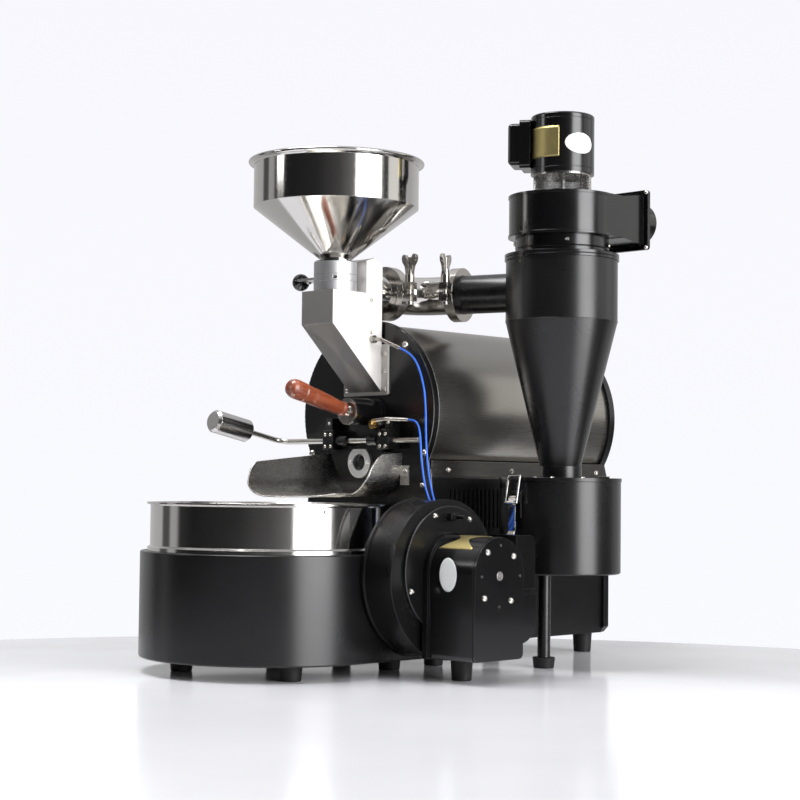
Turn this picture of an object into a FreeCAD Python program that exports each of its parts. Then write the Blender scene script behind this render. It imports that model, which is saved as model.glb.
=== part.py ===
import FreeCAD, Part
import os, math
from FreeCAD import Vector as V

os.makedirs("parts", exist_ok=True)

# ---------------------------------------------------------------- driving dimensions (mm)
# X = machine's right, Y = depth from the front plate, Z = up. Floor at z = 0.
AX_Z = 313.0            # drum axis height
PLATE_R = 116.0         # round part of the end plates
BODY_L = 360.0          # front face of front plate to rear face of rear plate
PLATE_T = 10.0
BOX_HW = 103.0          # half width of the lower housing
BOX_Z0, BOX_Z1 = 26.0, 250.6
SHELL_R = 112.0
DRUM_R, DRUM_Y0, DRUM_Y1 = 88.0, 26.0, 300.0

HOP_X, HOP_Y = 0.0, -58.0
HOP_RIM_R, HOP_CYL_R = 109.6, 102.7
HOP_RIM_Z, HOP_CYL_Z, HOP_NECK_Z = 621.0, 565.0, 501.0
COLLAR_R, COLLAR_Z0, COLLAR_Z1 = 26.8, 460.5, 497.2
NECK_R = 19.8

PIPE_R, PIPE_Z = 24.5, 466.0
PIPE_DEG = 16.0         # plan angle of the pipe to the cyclone, from +X
CYC_X, CYC_Y, CYC_R = 203.0, 137.0, 69.3
CAN_R, CAN_Z0, CAN_Z1 = 74.6, 116.0, 228.2

TRAY_Y = -163.0         # centre of the cooling tray
TRAY_RIM_R, TRAY_R, TRAY_RIM_Z = 143.8, 139.5, 199.0
BASE_R, BASE_Z0, BASE_Z1 = 151.0, 18.0, 142.0

FAN_Y, FAN_Z = -64.0, 125.0
FAN_X0, FAN_X1 = 153.0, 200.0

DOOR_Y, DOOR_Z = -13.0, 277.0      # hinge line of the discharge door
ORG_X, ORG_Y = 61.3, 72.0          # bottom centre of the bounding box, the row's origin
TRIER_X, TRIER_Z = 14.0, 312.5


# ---------------------------------------------------------------- helpers
def box(x0, x1, y0, y1, z0, z1):
    return Part.makeBox(x1 - x0, y1 - y0, z1 - z0, V(x0, y0, z0))


def cyl(x, y, z, r, h, d=(0, 0, 1)):
    return Part.makeCylinder(r, h, V(x, y, z), V(*d))


def tube(x, y, z, r1, r0, h, d=(0, 0, 1)):
    return cyl(x, y, z, r1, h, d).cut(cyl(x, y, z, r0, h, d))


def poly(pts):
    return Part.Face(Part.makePolygon(pts + [pts[0]]))


def prism_x(yz, x0, x1):
    return poly([V(x0, a, b) for a, b in yz]).extrude(V(x1 - x0, 0, 0))


def prism_y(xz, y0, y1):
    return poly([V(a, y0, b) for a, b in xz]).extrude(V(0, y1 - y0, 0))


def prism_z(xy, z0, z1):
    return poly([V(a, b, z0) for a, b in xy]).extrude(V(0, 0, z1 - z0))


def rev_z(rz, x, y):
    f = poly([V(x + r, y, z) for r, z in rz])
    return f.revolve(V(x, y, 0), V(0, 0, 1), 360)


def fuse(a, *more):
    for b in more:
        a = a.fuse(b)
    return a.removeSplitter()


def rot(s, ang, c=(0, 0, 0), ax=(0, 0, 1)):
    s = s.copy()
    s.rotate(V(*c), V(*ax), ang)
    return s


def mov(s, x, y, z):
    s = s.copy()
    s.translate(V(x, y, z))
    return s


def solids(*ss):
    out = []
    for s in ss:
        out += s.Solids
    return out


def fil(s, r, pick):
    es = [e for e in s.Edges if pick(e)]
    try:
        t = s.makeFillet(r, es)
        if t.isValid() and t.Solids:
            return t
    except Exception:
        pass
    return s


def dome(x, y, z, d, r=3.6, h=2.4, shank=0.0):
    # dome head screw, seated at (x,y,z), head pointing along d
    k = V(*d)
    R = (r * r + h * h) / (2 * h)
    c = V(x, y, z) - k * (R - h)
    ball = Part.makeSphere(R, c)
    head = ball.common(Part.makeCylinder(r * 1.01, h + 1, V(x, y, z), k))
    sock = Part.makeCylinder(r * 0.42, h, V(x, y, z) + k * (h * 0.55), k)
    return head.cut(sock)


NODES = {}


def out(name, *shapes):
    ss = solids(*shapes)
    for s in ss:
        if not s.isValid():
            s.fix(1e-5, 1e-5, 1e-4)
    c = ss[0] if len(ss) == 1 else Part.makeCompound(ss)
    c = mov(c, -ORG_X, -ORG_Y, 0)
    NODES[name] = c
    c.exportStep("parts/" + name + ".step")


def route_tube(pts, r, name):
    # straight runs joined by tangent arcs, radius 0.45 of the shorter run over tan(half turn)
    P = [V(*p) for p in pts]
    edges, last, radii, L = [], P[0], [], 0.0
    for i in range(1, len(P) - 1):
        a, b = P[i] - P[i - 1], P[i + 1] - P[i]
        la, lb = a.Length, b.Length
        a.normalize(); b.normalize()
        ang = a.getAngle(b)
        t = 0.45 * min(la, lb)
        R = t / math.tan(ang / 2)
        radii.append(round(R, 1))
        s, e = P[i] - a * t, P[i] + b * t
        m = (b - a); m.normalize()
        cen = P[i] + m * (R / math.cos(ang / 2))
        mid = cen - m * R
        edges.append(Part.LineSegment(last, s).toShape())
        edges.append(Part.Arc(s, mid, e).toShape())
        last = e
    edges.append(Part.LineSegment(last, P[-1]).toShape())
    w = Part.Wire(edges)
    d0 = P[1] - P[0]
    prof = Part.Wire([Part.Circle(P[0], d0, r).toShape()])
    sh = w.makePipeShell([prof], True, False)
    print(name, "length", round(w.Length, 1), "volume ratio", round(sh.Volume / (math.pi * r * r * w.Length), 4), "radii", radii)
    return sh


fast = []               # every dome screw on the fixed body

# ---------------------------------------------------------------- lower housing and drum casing
h = box(-BOX_HW, BOX_HW, PLATE_T, BODY_L - PLATE_T, BOX_Z0, BOX_Z1)
h = h.cut(box(-BOX_HW + 1.6, BOX_HW - 1.6, PLATE_T - 1, BODY_L, BOX_Z0 + 1.6, BOX_Z1 + 1))
slots = []
for k in range(15):
    y = 44 + 8.0 * k
    slots.append(box(-BOX_HW - 2, BOX_HW + 2, y, y + 3.6, 168, 218))
h = h.cut(Part.makeCompound(slots))
h = h.cut(cyl(BOX_HW - 5, 20, 150, 4.0, 10, (1, 0, 0)))
h = h.cut(cyl(BOX_HW - 5, 30, 136, 4.0, 10, (1, 0, 0)))
# cut-outs behind the control panel
h = h.cut(box(-BOX_HW - 1, -BOX_HW + 3, 219, 301, 128, 172)).cut(cyl(-BOX_HW - 1, 260, 92, 7, 5, (1, 0, 0)))
out("housing", h)


def end_plate(y0, y1):
    a0 = math.radians(-31.6)
    xa, za = PLATE_R * math.cos(a0), AX_Z + PLATE_R * math.sin(a0)
    p = [V(xa, y0, za), V(0, y0, AX_Z + PLATE_R), V(-xa, y0, za)]
    top = Part.Arc(p[0], p[1], p[2]).toShape()
    q = [V(-xa, y0, za), V(-BOX_HW, y0, 236), V(-107, y0, 205), V(-107, y0, 34), V(-99, y0, BOX_Z0),
         V(99, y0, BOX_Z0), V(107, y0, 34), V(107, y0, 205), V(BOX_HW, y0, 236), V(xa, y0, za)]
    es = [top] + [Part.LineSegment(q[i], q[i + 1]).toShape() for i in range(len(q) - 1)]
    return Part.Face(Part.Wire(es)).extrude(V(0, y1 - y0, 0))


fp = end_plate(0, PLATE_T)
fp = fp.cut(cyl(0, -1, DOOR_Z, 45, 12, (0, 1, 0)).common(box(-60, 60, -2, 12, 200, 261)))   # bean outlet
fp = fp.cut(box(-20, 20, -1, 11, 347, 384))               # bean inlet from the chute
fp = fp.cut(cyl(TRIER_X, -1, TRIER_Z, 12.0, 12, (0, 1, 0)))
fp = fil(fp, 1.2, lambda e: abs(e.BoundBox.YMin) < 1e-3 and abs(e.BoundBox.YMax) < 1e-3 and e.Length > 200)
out("front_plate", fp)
rp = end_plate(BODY_L - PLATE_T, BODY_L)
rp = rp.cut(cyl(0, BODY_L - 11, AX_Z, 11.5, 12, (0, 1, 0))).cut(box(-72, -40, BODY_L - 11, BODY_L + 1, 66, 92))
out("rear_plate", rp)

a0 = math.radians(-31.6)
so = Part.makeCylinder(SHELL_R, BODY_L - 2 * PLATE_T, V(0, PLATE_T, AX_Z), V(0, 1, 0))
si = Part.makeCylinder(SHELL_R - 1.4, BODY_L, V(0, 0, AX_Z), V(0, 1, 0))
sh = so.cut(si).common(box(-130, 130, 0, BODY_L, 254.4, 460))
trim = prism_y([(94.0, 252.6), (104.4, 252.6), (104.4, 231.4), (103.0, 231.4), (103.0, 251.2), (94.0, 251.2)], PLATE_T, BODY_L - PLATE_T)
out("drum_shell", sh, trim, trim.mirror(V(0, 0, 0), V(1, 0, 0)))

# ---------------------------------------------------------------- drum, shaft, bearing and drive
d = tube(0, DRUM_Y0, AX_Z, DRUM_R, DRUM_R - 2.5, DRUM_Y1 - DRUM_Y0, (0, 1, 0))
d = d.fuse(cyl(0, DRUM_Y1 - 3, AX_Z, DRUM_R - 1, 3, (0, 1, 0)).cut(cyl(0, DRUM_Y1 - 4, AX_Z, 10.0, 6, (0, 1, 0))))
for k in range(6):
    v = box(DRUM_R - 16, DRUM_R - 2, DRUM_Y0 + 14, DRUM_Y1 - 6, AX_Z - 1, AX_Z + 1)
    d = d.fuse(rot(v, 60 * k, (0, 0, AX_Z), (0, 1, 0)))
out("drum", d.removeSplitter())
s = cyl(0, 284, AX_Z, 9.98, 96, (0, 1, 0)).fuse(cyl(0, 284, AX_Z, 20, DRUM_Y1 - 3 - 284, (0, 1, 0)))
out("drum_shaft", s.removeSplitter())
b = box(-32, 32, 334, BODY_L - PLATE_T, AX_Z - 32, AX_Z + 32).fuse(cyl(0, 326, AX_Z, 24, 8, (0, 1, 0)))
b = b.cut(cyl(0, 320, AX_Z, 10.05, 40, (0, 1, 0)))
bearing = b.removeSplitter()
gm = box(-37, 37, BODY_L, BODY_L + 40, AX_Z - 37, AX_Z + 37)
gm = fil(gm, 8, lambda e: abs(e.BoundBox.YLength - 40) < 0.1)
gm = gm.cut(cyl(0, BODY_L - 1, AX_Z, 10.05, 26, (0, 1, 0)))
m2 = cyl(0, BODY_L + 40, AX_Z, 33, 52, (0, 1, 0)).fuse(cyl(0, BODY_L + 92, AX_Z, 30, 6, (0, 1, 0)))
for k in range(18):
    g = box(31.5, 34, BODY_L + 46, BODY_L + 88, AX_Z - 1.4, AX_Z + 1.4)
    m2 = m2.cut(rot(g, 20 * k, (0, 0, AX_Z), (0, 1, 0)))
out("drum_drive", bearing, gm, m2)
bu = []
for x in (-46, 0, 46):
    t = cyl(x, 40, 166, 8, 262, (0, 1, 0)).cut(cyl(x, 42, 166, 6.6, 262, (0, 1, 0)))
    hs = [cyl(x, 56 + 14 * k, 168, 1.5, 10) for k in range(17)]
    bu.append(t.cut(Part.makeCompound(hs)))
man = cyl(-60, 310, 166, 9, 120, (1, 0, 0))
for x in (-46, 0, 46):
    man = man.fuse(cyl(x, 302, 166, 8, 8, (0, 1, 0)))
brk = []
for y in (60, 196):
    brk.append(box(-BOX_HW + 1.6, BOX_HW - 1.6, y, y + 14, 152, 158).cut(box(-1, 1, 0, 1, 0, 1)))
out("burner", *(bu + [man.removeSplitter()] + brk))

# ---------------------------------------------------------------- control panel, switches, knob, inlets
cp = box(-106, -BOX_HW, 208, 312, 60, 190)
cp = fil(cp, 4, lambda e: abs(e.BoundBox.XLength - 3) < 0.01)
cp = cp.cut(box(-107, -102, 228, 254, 132, 168)).cut(box(-107, -102, 266, 292, 132, 168)).cut(cyl(-107, 260, 92, 5.2, 6, (1, 0, 0)))
bez = []
for y in (241, 279):
    bz = box(-108, -106, y - 15, y + 15, 130, 170).cut(box(-109, -105, y - 10.6, y + 10.6, 136.5, 163.5))
    cup = box(-106, -101, y - 12.5, y + 12.5, 132.5, 167.5).cut(box(-107, -102.2, y - 10.6, y + 10.6, 136.0, 164.0))
    bez.append(bz.fuse(cup).removeSplitter())
out("control_panel", cp, *bez)
for nm, y in (("switch_roast", 241), ("switch_cool", 279)):
    sw = prism_y([(-110.4, 138.2), (-108.6, 150), (-110.4, 161.8), (-106.8, 161.8), (-104.6, 152), (-104.6, 148), (-106.8, 138.2)], y - 10, y + 10)
    sw = sw.fuse(cyl(-107, y - 10.5, 150, 1.2, 21, (0, 1, 0))).removeSplitter()
    out(nm, sw)
k = cyl(-107.4, 260, 92, 17, 15, (-1, 0, 0))
k = fil(k, 2, lambda e: abs(e.BoundBox.XMin + 122.4) < 0.01 and e.BoundBox.XLength < 0.01)
k = k.cut(box(-124, -120.5, 259, 261, 94, 110)).fuse(cyl(-107.4, 260, 92, 5.12, 9, (1, 0, 0)))
out("heat_knob", k.removeSplitter())
gl = []
for y, z in ((20, 150), (30, 136)):
    g = cyl(BOX_HW, y, z, 6.2, 4, (1, 0, 0)).fuse(cyl(BOX_HW + 4, y, z, 4.4, 6, (1, 0, 0))).fuse(cyl(BOX_HW - 4, y, z, 3.95, 4, (1, 0, 0)))
    gl.append(g.removeSplitter())
inl = box(-71.5, -40.5, BODY_L - 14, BODY_L + 4, 66.5, 91.5).fuse(box(-78, -34, BODY_L, BODY_L + 2.5, 64, 94))
inl = inl.cut(box(-68, -44, BODY_L - 11, BODY_L + 5, 70, 88))
for x, z in ((-62, 77), (-56, 81), (-50, 77)):
    inl = inl.fuse(box(x - 1, x + 1, BODY_L - 12, BODY_L - 1, z - 2, z + 2))
out("cable_inlets", inl.removeSplitter(), *gl)

# ---------------------------------------------------------------- hopper, collar, gate
t = 1.4
prof = [(25.4, COLLAR_Z1), (25.4, 498.6), (NECK_R, 498.6), (NECK_R, HOP_NECK_Z), (HOP_CYL_R, HOP_CYL_Z), (HOP_CYL_R, 617), (106.2, 619.4),
        (105.4, 620.8), (HOP_CYL_R - t, 618.2), (HOP_CYL_R - t, HOP_CYL_Z + 0.7), (NECK_R - t, HOP_NECK_Z + 0.9), (NECK_R - t, COLLAR_Z1)]
hp = rev_z(prof, HOP_X, HOP_Y)
bead = Part.makeTorus(HOP_RIM_R - 2.6, 2.6, V(HOP_X, HOP_Y, HOP_RIM_Z), V(0, 0, 1))
out("hopper", hp.fuse(bead).removeSplitter())
co = tube(HOP_X, HOP_Y, COLLAR_Z0, COLLAR_R, 22, COLLAR_Z1 - COLLAR_Z0)
co = co.cut(tube(HOP_X, HOP_Y, 480.4, COLLAR_R + 1, COLLAR_R - 1.0, 1.2)).cut(tube(HOP_X, HOP_Y, 472.6, COLLAR_R + 1, COLLAR_R - 1.0, 1.2))
co = co.cut(box(-40, 20.6, HOP_Y - 20.4, HOP_Y + 20.4, 475.2, 478.9))
out("gate_collar", co)
bl = box(-48, 0, HOP_Y - 19.9, HOP_Y + 19.9, 475.6, 478.5).fuse(cyl(0, HOP_Y, 475.6, 19.9, 2.9))
bl = bl.fuse(cyl(-46, HOP_Y, 477.05, 3.2, 8, (-1, 0, 0)))
kn = rev_z([(0, -9), (6.3, -9), (8.6, -6.9), (10.3, -3.9), (11, 0), (10.6, 2.9), (9.5, 5.5), (7.8, 7.8), (5.5, 9.5), (2.9, 10.6), (0, 11)], 0, 0)
kn = mov(rot(kn, -90, (0, 0, 0), (0, 1, 0)), -63, HOP_Y, 477.05)
out("charge_gate", bl.removeSplitter(), kn)

# ---------------------------------------------------------------- charge chute with its flange
CH = 28.0
cpf = [(-88, 460.5), (-88, 419), (-3, 338.5), (-3, 497), (-17, 505), (-31, 500.5), (-31, 460.5)]
CI = CH - 1.4
chute = [prism_x(cpf, CI, CH), prism_x(cpf, -CH, -CI)]
chute.append(prism_x([(-88, 460.5), (-88, 419), (-86.6, 419.6), (-86.6, 460.5)], -CI, CI))                  # front
chute.append(prism_x([(-88, 419), (-3, 338.5), (-4.4, 341.8), (-86.6, 419.6)], -CI, CI))                    # slope
bk = prism_x([(-3, 338.5), (-3, 497), (-4.4, 496.1), (-4.4, 341.8)], -CI, CI)
chute.append(bk.cut(box(-20, 20, -6, -2, 347, 384)).cut(cyl(0, -6, PIPE_Z, PIPE_R - 2, 6, (0, 1, 0))))      # back
chute.append(prism_x([(-3, 497), (-17, 505), (-17.1, 503.4), (-4.4, 496.1)], -CI, CI))
chute.append(prism_x([(-17, 505), (-31, 500.5), (-29.6, 499.4), (-17.1, 503.4)], -CI, CI))
chute.append(prism_x([(-31, 500.5), (-31, 460.5), (-29.6, 459.1), (-29.6, 499.4)], -CI, CI))
chute.append(prism_x([(-31, 460.5), (-86.6, 460.5), (-86.6, 459.1), (-29.6, 459.1)], -CI, CI).cut(cyl(0, HOP_Y, 455, 22, 10)))
fl = box(-39, 39, -3, 0, 334, 398).cut(box(-20, 20, -4, 1, 347, 384))
fl = fil(fl, 2, lambda e: abs(e.BoundBox.YLength - 3) < 0.01 and abs(abs(e.BoundBox.XMin) - 39) < 0.01)
out("charge_chute", *(chute + [fl]))
for x, z in ((34, 386), (34, 341), (-34, 386), (-34, 341), (34, 364), (-34, 364)):
    fast.append(dome(x, -3, z, (0, -1, 0), 3.0, 1.9))
fast.append(dome(CH, -22, 452, (1, 0, 0), 2.6, 1.6))
fast.append(dome(CH, -22, 412, (1, 0, 0), 2.6, 1.6))

# ---------------------------------------------------------------- exhaust elbow, clamps, pipe to the cyclone
pa = math.radians(PIPE_DEG)
ux, uy = math.cos(pa), math.sin(pa)
cor = V(0, 82.6, PIPE_Z)
RB = 45.0
tl = RB * math.tan(math.radians(90 - PIPE_DEG) / 2)
pA = V(0, 82.6 - tl, PIPE_Z)
pB = cor + V(ux * tl, uy * tl, 0)
CL1_Y = 34.0
CL2 = V(64, 101, PIPE_Z)
cen = pA + V(RB, 0, 0)
mdir = cor - cen; mdir.normalize()
mid = cen + mdir * RB


def pipe_solid(r):
    es = [Part.LineSegment(V(0, CL1_Y, PIPE_Z), pA).toShape(), Part.Arc(pA, mid, pB).toShape(), Part.LineSegment(pB, CL2).toShape()]
    w = Part.Wire(es)
    prof = Part.Wire([Part.Circle(V(0, CL1_Y, PIPE_Z), V(0, 1, 0), r).toShape()])
    return w.makePipeShell([prof], True, False)


elb = pipe_solid(PIPE_R)
elb = elb.fuse(cyl(0, CL1_Y, PIPE_Z, 30, 3, (0, 1, 0)))
e2 = CL2 - V(ux, uy, 0) * 3
elb = elb.fuse(cyl(e2.x, e2.y, e2.z, 30, 3, (ux, uy, 0)))
elb = elb.cut(pipe_solid(PIPE_R - 1.8))
stub = tube(0, -3, PIPE_Z, PIPE_R, PIPE_R - 1.8, CL1_Y + 3, (0, 1, 0)).fuse(tube(0, CL1_Y - 3, PIPE_Z, 30, PIPE_R - 1.8, 3, (0, 1, 0)))
out("exhaust_elbow", elb.removeSplitter(), stub.removeSplitter())


def clamp(ang):
    # built about the Y axis at the origin, bolt on the +X side, then turned about Z
    ri, ro, w = 30.25, 34.5, 6.5
    prof = [(24.9, -w), (ro, -w), (ro, w), (24.9, w), (24.9, w - 2.4), (ri, 3.3), (ri, -3.3), (24.9, -w + 2.4)]
    f = poly([V(r, y, 0) for r, y in prof])
    ring = f.revolve(V(0, 0, 0), V(0, 1, 0), 360)
    up = ring.common(box(-60, 60, -20, 20, 1.2, 60))
    dn = ring.common(box(-60, 60, -20, 20, -60, -1.2))
    up = up.fuse(box(33, 47, -6, 6, 3.0, 12)).cut(cyl(40, 0, -20, 3.2, 60))
    dn = dn.fuse(box(33, 47, -6, 6, -12, -3.0)).cut(cyl(40, 0, -20, 3.2, 60))
    hg = tube(-37, -6, 0, 4.4, 2.0, 12, (0, 1, 0)).fuse(box(-36, -33, -6, 6, -5, 5)).cut(cyl(-37, -7, 0, 2.0, 14, (0, 1, 0)))
    hg = hg.cut(ring)
    bolt = cyl(40, 0, -16, 3.0, 60).fuse(cyl(40, 0, -16, 5.0, 4))
    return [rot(q, ang) for q in (up, dn, hg, bolt)]


cl = [mov(q, 0, CL1_Y, PIPE_Z) for q in clamp(0)]
cl += [mov(q, CL2.x, CL2.y, CL2.z) for q in clamp(PIPE_DEG - 90)]
out("pipe_clamps", *cl)


def wing(ang):
    w = cyl(40, 0, 12.3, 6.0, 9).fuse(Part.makeCone(6.0, 4.6, 8, V(40, 0, 21.3), V(0, 0, 1)))
    for s_ in (1, -1):
        q = prism_y([(40, 14), (40 + s_ * 5.4, 16), (40 + s_ * 5.8, 26), (40 + s_ * 7.4, 33), (40 + s_ * 11.4, 38.5), (40 + s_ * 12.4, 43),
                     (40 + s_ * 11.6, 46.4), (40 + s_ * 9.0, 48.2), (40 + s_ * 6.2, 47.2), (40 + s_ * 4.2, 43.4), (40 + s_ * 2.6, 40.4), (40, 39.2)], -2.3, 2.3)
        w = w.fuse(q)
    w = w.cut(cyl(40, 0, 10, 3.05, 40))
    return rot(w.removeSplitter(), ang)


out("wing_nut_front", mov(wing(0), 0, CL1_Y, PIPE_Z))
out("wing_nut_rear", mov(wing(PIPE_DEG - 90), CL2.x, CL2.y, CL2.z))

ip = tube(CL2.x, CL2.y, CL2.z, PIPE_R, PIPE_R - 1.8, 100, (ux, uy, 0)).fuse(tube(CL2.x, CL2.y, CL2.z, 30, PIPE_R - 1.8, 3, (ux, uy, 0)))
ip = ip.cut(cyl(CYC_X, CYC_Y, 400, CYC_R, 140))
out("inlet_pipe", ip.removeSplitter())

# ---------------------------------------------------------------- cyclone and chaff can
SZ0, SZ1 = 530.0, 582.0


def duct(inset, yend):
    i = inset
    a = [V(214 + i, 176, SZ0 + i), V(269 - i, 176, SZ0 + i), V(269 - i, 176, SZ1 - i), V(214 + i, 176, SZ1 - i)]
    b = [V(214 + i, yend, 525 + i), V(269 - i, yend, 525 + i), V(269 - i, yend, 588 - i), V(214 + i, yend, 588 - i)]
    f = Part.makeLoft([Part.makePolygon(a + [a[0]]), Part.makePolygon(b + [b[0]])], True, True)
    return f.fuse(box(214 + i, 269 - i, 140, 176, SZ0 + i, SZ1 - i))


tz = 1.4
prof = [(CYC_R, 501.5), (CYC_R, 426), (25.4, 247.5), (25.4 - tz, 247.5), (CYC_R - tz, 426.2), (CYC_R - tz, 501.5)]
cb = rev_z(prof, CYC_X, CYC_Y)
cb = cb.cut(cyl(CL2.x, CL2.y, CL2.z, PIPE_R - 1.8, 100, (ux, uy, 0)))
out("cyclone_body", cb)
tr = rev_z([(29, 501.5), (71, 501.5), (71, 504.2), (70.2, 504.9), (71, 505.6), (71, 509), (58.2, 509), (58.2, 514.5), (57.2, 515.5), (58.2, 516.5),
            (58.2, 530), (29, 530)], CYC_X, CYC_Y)
tr = tr.cut(cyl(CYC_X, CYC_Y, 500, 29, 40)).fuse(tube(CYC_X, CYC_Y, 432, 30.4, 29, 98)).removeSplitter()
tr = tr.cut(duct(0, 216))
out("cyclone_top_ring", tr)
for a in (225, 315, 45, 135):
    r = math.radians(a)
    fast.append(dome(CYC_X + 58.2 * math.cos(r), CYC_Y + 58.2 * math.sin(r), 522.5, (math.cos(r), math.sin(r), 0), 3.0, 2.4))
LID_Z0, LID_Z1 = 228.4, 233.0
ld = cyl(CYC_X, CYC_Y, LID_Z0, 75.4, LID_Z1 - LID_Z0).fuse(cyl(CYC_X, CYC_Y, LID_Z1, 26.4, 247.5 - LID_Z1))
ld = ld.cut(cyl(CYC_X, CYC_Y, 220, 24, 40))
LATCH_A = (265.0, 85.0)
for a in LATCH_A:
    c_ = box(73, 82, -6.6, 6.6, 230.4, LID_Z1)
    ld = ld.fuse(mov(rot(c_, a), CYC_X, CYC_Y, 0))
out("can_lid", ld.removeSplitter())
for a in (300, 335, 120, 160):
    r = math.radians(a)
    fast.append(dome(CYC_X + 62 * math.cos(r), CYC_Y + 62 * math.sin(r), LID_Z1, (0, 0, 1), 3.0, 1.8))
cn = rev_z([(0, CAN_Z0), (CAN_R - 1.5, CAN_Z0), (CAN_R, CAN_Z0 + 1.5), (CAN_R, CAN_Z1), (CAN_R - 1.4, CAN_Z1), (CAN_R - 1.4, CAN_Z0 + 1.6), (0, CAN_Z0 + 1.6)], CYC_X, CYC_Y)
brs = []
for a in LATCH_A:
    q = box(CAN_R - 1.0, CAN_R + 1.6, -7.5, 7.5, 184, 216)
    for y0_ in (-7.5, 6.0):
        q = q.fuse(box(CAN_R + 1, 82.6, y0_, y0_ + 1.5, 203, 213))
    q = q.fuse(cyl(80, -7.5, 208, 1.5, 15, (0, 1, 0)))
    q = mov(rot(q, a), CYC_X, CYC_Y, 0).cut(cyl(CYC_X, CYC_Y, 100, CAN_R, 200))
    brs.append(q.removeSplitter())
out("chaff_can", cn, *brs)
for nm, a in (("a", LATCH_A[0]), ("b", LATCH_A[1])):
    lv = box(82, 83.4, -5.6, 5.6, 168, 208).fuse(cyl(80, -5.6, 208, 3.0, 11.2, (0, 1, 0))).fuse(cyl(85.2, -5.6, 202, 2.5, 11.2, (0, 1, 0)))
    lv = lv.fuse(prism_y([(82, 168), (83.4, 168), (86.6, 163.5), (85.6, 162.8)], -5.6, 5.6))
    lv = lv.cut(cyl(80, -8, 208, 1.55, 16, (0, 1, 0))).cut(cyl(85.2, -8, 202, 1.2, 16, (0, 1, 0)))
    out("latch_lever_" + nm, mov(rot(lv.removeSplitter(), a), CYC_X, CYC_Y, 0))
    lp = cyl(85.2, -9.6, 202, 1.15, 19.2, (0, 1, 0))
    p0, p1 = V(85.2, 0, 202), V(79.2, 0, 234.6)
    dv = p1 - p0
    for y0_ in (-9.6, 9.6):
        lp = lp.fuse(Part.makeCylinder(1.15, dv.Length, V(p0.x, y0_, p0.z), dv))
        lp = lp.fuse(Part.makeSphere(1.15, V(p1.x, y0_, p1.z))).fuse(Part.makeSphere(1.15, V(p0.x, y0_, p0.z)))
    lp = lp.fuse(cyl(p1.x, -9.6, p1.z, 1.15, 19.2, (0, 1, 0)))
    out("latch_loop_" + nm, mov(rot(lp.removeSplitter(), a), CYC_X, CYC_Y, 0))
POLE_X, POLE_Y = 191.0, 122.0
out("can_pole", cyl(POLE_X, POLE_Y, 13, 8, CAN_Z0 - 13).fuse(cyl(POLE_X, POLE_Y, CAN_Z0 - 3, 15, 3)).removeSplitter())

# ---------------------------------------------------------------- top blower
sc = cyl(CYC_X, CYC_Y, SZ0, 66, SZ1 - SZ0).fuse(duct(0, 216))
sc = sc.fuse(tube(CYC_X, CYC_Y, SZ1 - 3, 67, 65, 3)).fuse(tube(CYC_X, CYC_Y, SZ0, 67, 65, 3))
flg = box(206, 276, 216, 221, 519, 594)
flg = fil(flg, 4, lambda e: abs(e.BoundBox.YLength - 5) < 0.01)
sc = sc.fuse(flg).fuse(cyl(241, 221, 556.5, 26, 26, (0, 1, 0)))
inn = cyl(CYC_X, CYC_Y, SZ0 + 1.5, 64.5, SZ1 - SZ0 - 3).fuse(duct(1.5, 214))
inn = inn.fuse(cyl(241, 205, 556.5, 24.4, 60, (0, 1, 0)))
sc = sc.cut(inn).cut(cyl(CYC_X, CYC_Y, SZ0 - 1, 29, 4)).cut(cyl(CYC_X, CYC_Y, SZ1 - 3, 9, 4))
out("top_scroll", sc.removeSplitter())
for x, z in ((209.9, 521.9), (273.1, 521.9), (209.9, 591.1), (273.1, 591.1)):
    fast.append(dome(x, 216, z, (0, -1, 0), 2.8, 2.0))
gd = tube(CYC_X, CYC_Y, SZ1, 36, 34.8, 27.2)
gs = [rot(box(CYC_X + 30, CYC_X + 40, CYC_Y - 2.2, CYC_Y + 2.2, SZ1 + 4, SZ1 + 23), 15 * k, (CYC_X, CYC_Y, 0)) for k in range(24)]
out("mesh_guard", gd.cut(Part.makeCompound(gs)))
MZ0, MZ1 = SZ1 + 27.2, 683.0
mt = cyl(CYC_X, CYC_Y, MZ0, 39.4, MZ1 - MZ0)
mt = fil(mt, 2.5, lambda e: abs(e.BoundBox.ZMin - MZ1) < 0.01)
for z in (MZ0 + 6, MZ1 - 7):
    mt = mt.cut(tube(CYC_X, CYC_Y, z, 41, 39.0, 0.8))
mt = mt.cut(cyl(CYC_X, CYC_Y, MZ0 - 1, 4.05, 34))
out("top_motor", mt)
TB_A = 212.0
tb = box(37.5, 51, -24, 24, 617, 677)
tb = fil(tb, 5, lambda e: abs(e.BoundBox.XLength - 13.5) < 0.01)
lidb = box(51.0, 66.0, -22, 22, 621, 673)
lidb = fil(lidb, 5, lambda e: abs(e.BoundBox.XMin - 66) < 0.01 or abs(e.BoundBox.XLength - 15) < 0.01)
tb, lidb = [mov(rot(q, TB_A), CYC_X, CYC_Y, 0) for q in (tb, lidb)]
out("terminal_box", tb.cut(cyl(CYC_X, CYC_Y, 600, 39.4, 100)), lidb)
im = cyl(CYC_X, CYC_Y, 574, 56, 2).fuse(cyl(CYC_X, CYC_Y, 552, 10, 22)).fuse(cyl(CYC_X, CYC_Y, 576, 3.98, 62))
for k in range(12):
    q = box(24, 55, -0.9, 0.9, 541, 574)
    im = im.fuse(mov(rot(rot(q, 28, (40, 0, 0)), 30 * k), CYC_X, CYC_Y, 0))
out("top_impeller", im.removeSplitter())

# ---------------------------------------------------------------- cooling tray unit
def u_shape(r, y1, z0, z1):
    c_ = cyl(0, TRAY_Y, z0, r, z1 - z0)
    return c_.fuse(box(-r, r, TRAY_Y, y1, z0, z1)).removeSplitter()


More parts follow.
